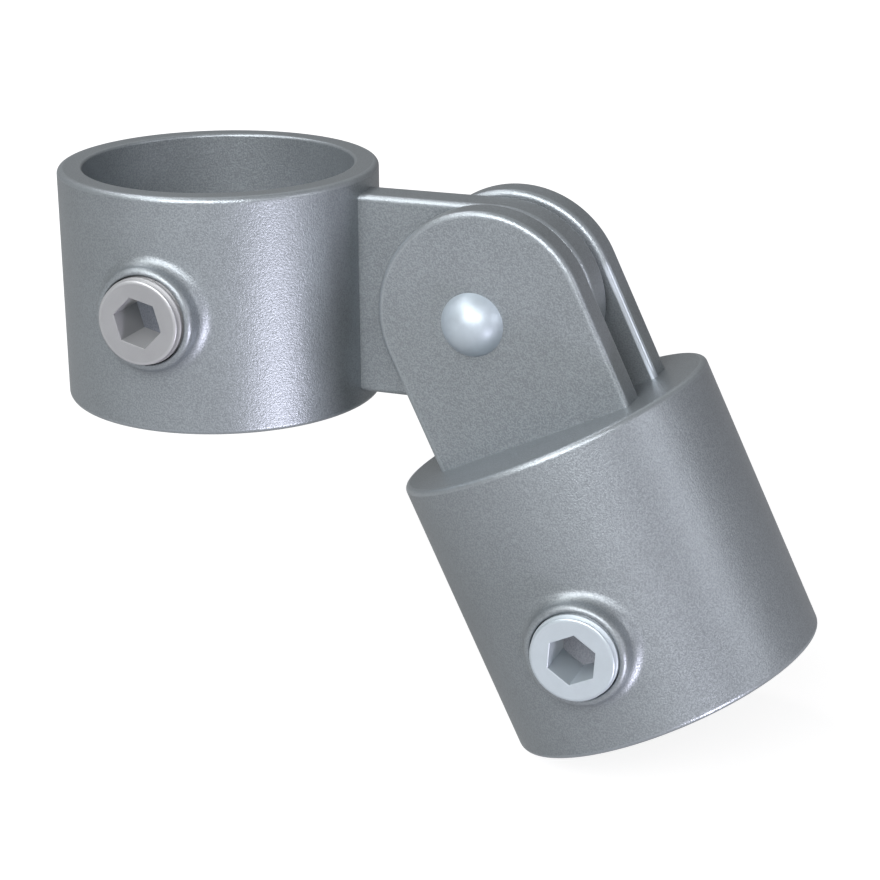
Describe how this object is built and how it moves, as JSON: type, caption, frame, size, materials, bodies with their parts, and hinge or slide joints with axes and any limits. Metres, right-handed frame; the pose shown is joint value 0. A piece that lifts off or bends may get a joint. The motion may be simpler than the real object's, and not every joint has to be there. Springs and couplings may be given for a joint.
{
  "type": "hinged tube connector",
  "caption": "Cast connector for round tubes: a clamp ring and a capped socket, joined by a riveted tongue and fork that swing, with hexagon-key set screws.",
  "frame": {"origin": "middle of the ring's bore, on its axis", "axes": "+Z along the ring's bore, +X from the bore to the hinge, hinge axis along Y, both set screws facing -Y"},
  "size_m": [0.1419, 0.0627, 0.1017],
  "materials": {
    "casting": "galvanised, finely grained",
    "rivet": "smooth, bright",
    "set_screw": "smooth, satin zinc"
  },
  "bodies": {
    "ring": {"ring": "casting"},
    "socket": {"socket": "casting", "hinge_rivet": "rivet"},
    "ring_screw": {"ring_set_screw": "set_screw"},
    "socket_screw": {"socket_set_screw": "set_screw"}
  },
  "joints": [
    {"name": "hinge", "type": "hinge", "parent": "ring", "child": "socket", "pos_m": [0.05322, 0, -0.00103], "axis": [0, -1, 0], "range_deg": [-25.3, 148.7]},
    {"name": "ring_screw_travel", "type": "slide", "parent": "ring", "child": "ring_screw", "axis": [0, -1, 0], "range_m": [-0.00085, 0.005]},
    {"name": "socket_screw_travel", "type": "slide", "parent": "socket", "child": "socket_screw", "axis": [0, -1, 0], "range_m": [-0.00055, 0.005]}
  ]
}
